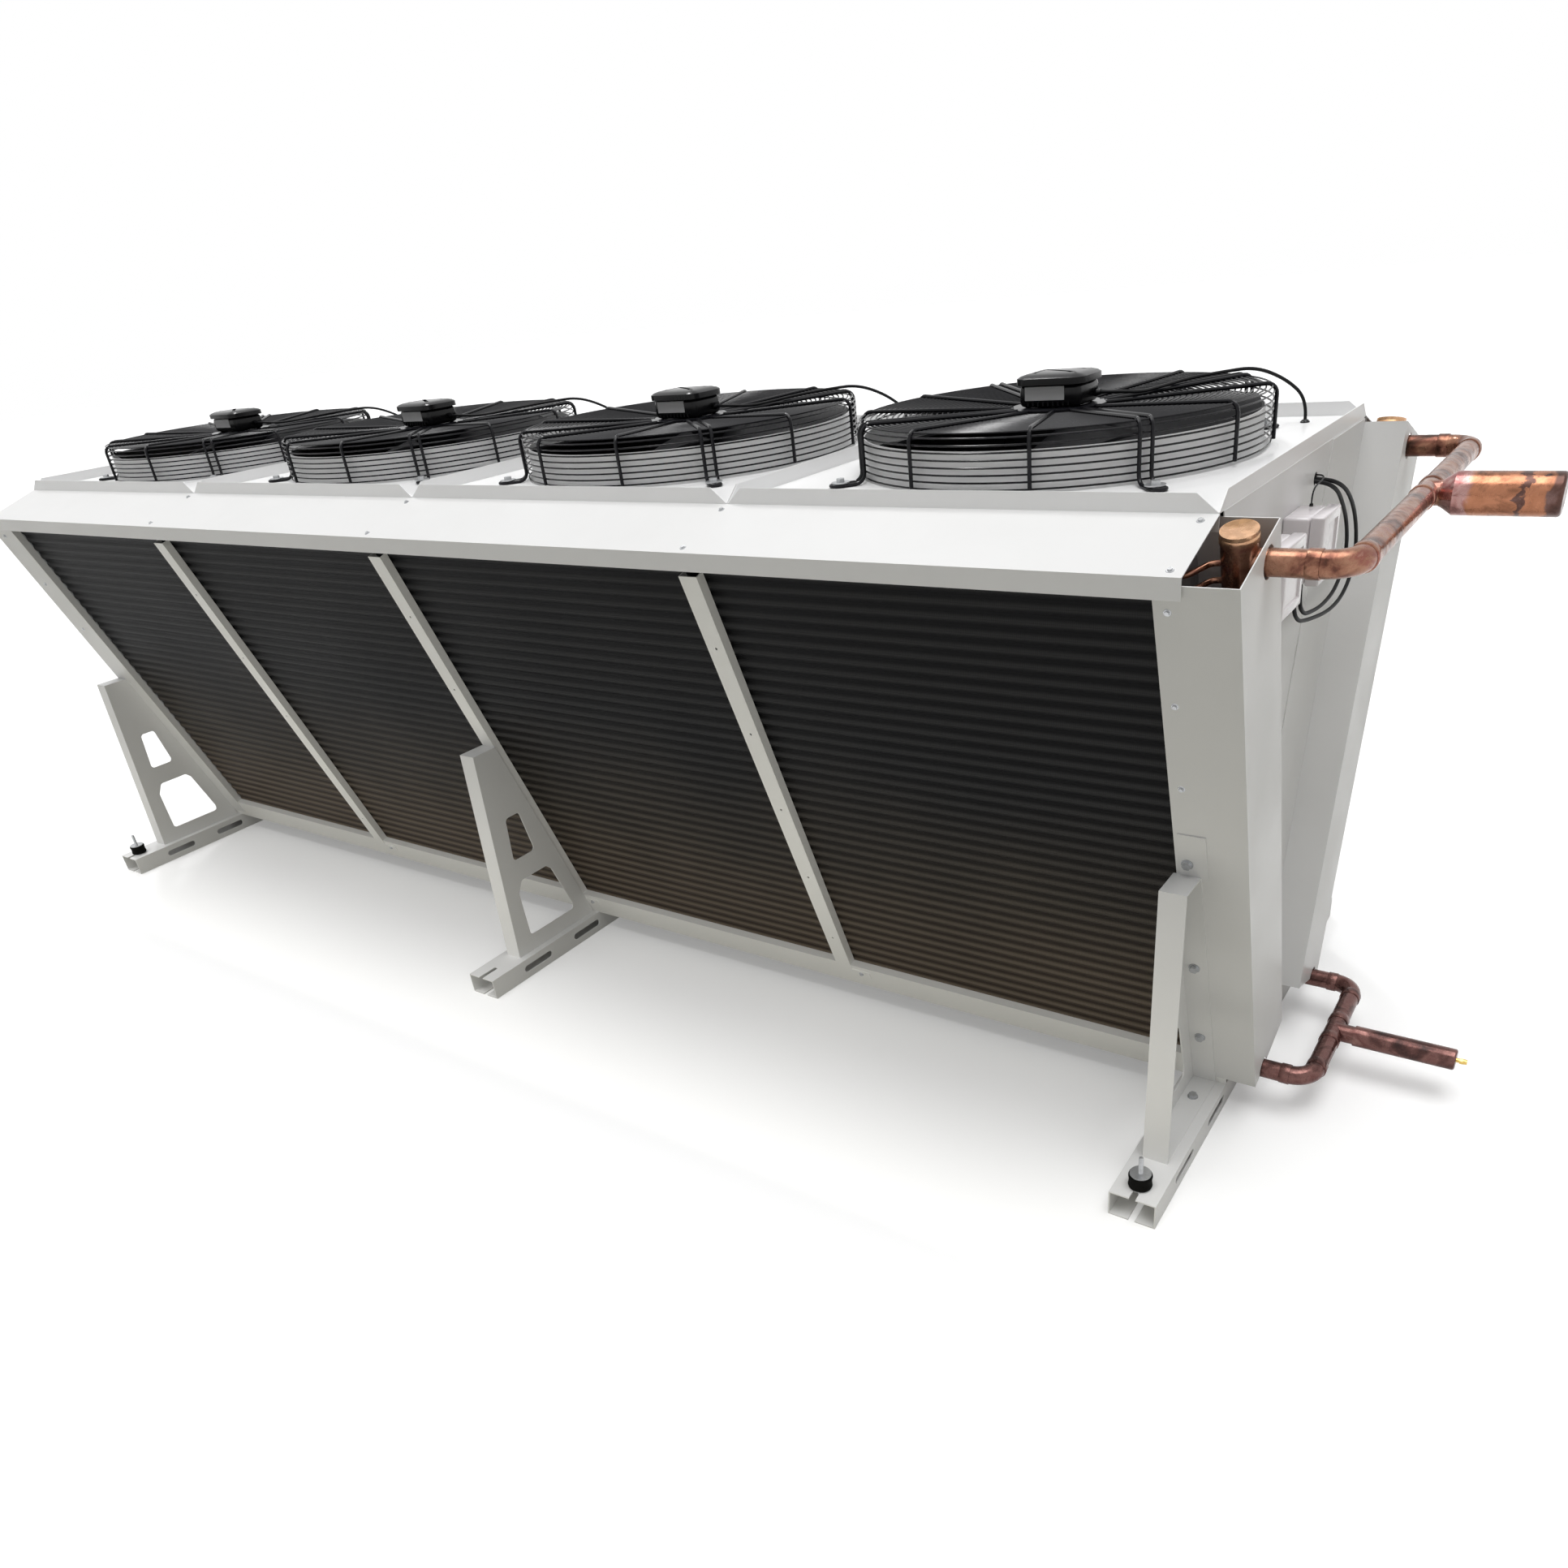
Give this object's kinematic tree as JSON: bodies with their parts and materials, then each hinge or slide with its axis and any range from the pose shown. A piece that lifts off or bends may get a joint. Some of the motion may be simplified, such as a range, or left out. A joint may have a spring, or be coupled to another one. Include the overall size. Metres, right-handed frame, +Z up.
{
  "type": "air-cooled condenser",
  "caption": "Air-cooled condenser: finned coils in a V on foot rails, with a row of guarded axial fans on top and copper pipe stubs at one end.",
  "frame": {"origin": "centre of the middle foot rail's underside", "axes": "+X along the row of fans toward the end with the pipes, -Y the front, +Z up"},
  "size_m": [4.524, 1.4, 1.527],
  "materials": {
    "coated_sheet": "light grey powder coat, satin",
    "zinc_steel": "zinc plated",
    "buffer_rubber": "moulded, matte",
    "black_fins": "black coated fin edges",
    "copper_pipe": "drawn copper, heat tinted at the brazed joints",
    "brass_fitting": "turned",
    "black_wire": "black powder coat",
    "black_motor": "black enamel",
    "black_blades": "black enamel, satin",
    "black_plastic": "moulded, fine grain",
    "pale_plastic": "moulded, translucent grey",
    "cable_rubber": "smooth sheath"
  },
  "bodies": {
    "frame": {"foot_rail_left": "coated_sheet", "foot_rail_middle": "coated_sheet", "foot_rail_right": "coated_sheet", "mount_buffers": "buffer_rubber", "mount_studs": "zinc_steel", "coil_front": "black_fins", "coil_rear": "black_fins", "tube_sheets": "zinc_steel", "return_bends": "copper_pipe", "sill_front": "coated_sheet", "sill_rear": "coated_sheet", "coil_straps": "coated_sheet", "deck_seats": "zinc_steel", "header_cover_front": "coated_sheet", "header_cover_rear": "coated_sheet", "bend_cover_front": "coated_sheet", "bend_cover_rear": "coated_sheet", "cowl_front": "coated_sheet", "cowl_rear": "coated_sheet", "end_panel_right": "coated_sheet", "end_panel_lap": "coated_sheet", "end_panel_left": "coated_sheet", "cell_partitions": "zinc_steel", "bottom_trough": "zinc_steel", "gas_headers": "copper_pipe", "liquid_headers": "copper_pipe", "gas_manifold": "copper_pipe", "liquid_manifold": "copper_pipe", "service_valve": "brass_fitting", "terminal_boxes": "black_plastic", "terminal_lids": "black_plastic", "isolator_boxes": "pale_plastic", "isolator_lids": "pale_plastic", "cable_glands": "pale_plastic", "supply_cables": "cable_rubber", "fan_conduits": "cable_rubber", "panel_screws": "zinc_steel", "hex_bolts": "zinc_steel", "bracket_front_left": "coated_sheet", "bracket_front_middle": "coated_sheet", "bracket_front_right": "coated_sheet", "bracket_rear_left": "coated_sheet", "bracket_rear_middle": "coated_sheet", "bracket_rear_right": "coated_sheet", "fan_panel_1": "coated_sheet", "fan_guard_1": "black_wire", "motor_stator_1": "black_motor", "fan_panel_2": "coated_sheet", "fan_guard_2": "black_wire", "motor_stator_2": "black_motor", "fan_panel_3": "coated_sheet", "fan_guard_3": "black_wire", "motor_stator_3": "black_motor", "fan_panel_4": "coated_sheet", "fan_guard_4": "black_wire", "motor_stator_4": "black_motor"},
    "fan_1": {"impeller_1": "black_blades"},
    "fan_2": {"impeller_2": "black_blades"},
    "fan_3": {"impeller_3": "black_blades"},
    "fan_4": {"impeller_4": "black_blades"}
  },
  "joints": [
    {"name": "fan_1_spin", "type": "hinge", "parent": "frame", "child": "fan_1", "pos_m": [-1.5, 0, 1.41], "axis": [0, 0, 1], "continuous": true},
    {"name": "fan_2_spin", "type": "hinge", "parent": "frame", "child": "fan_2", "pos_m": [-0.5, 0, 1.41], "axis": [0, 0, 1], "continuous": true},
    {"name": "fan_3_spin", "type": "hinge", "parent": "frame", "child": "fan_3", "pos_m": [0.5, 0, 1.41], "axis": [0, 0, 1], "continuous": true},
    {"name": "fan_4_spin", "type": "hinge", "parent": "frame", "child": "fan_4", "pos_m": [1.5, 0, 1.41], "axis": [0, 0, 1], "continuous": true}
  ]
}
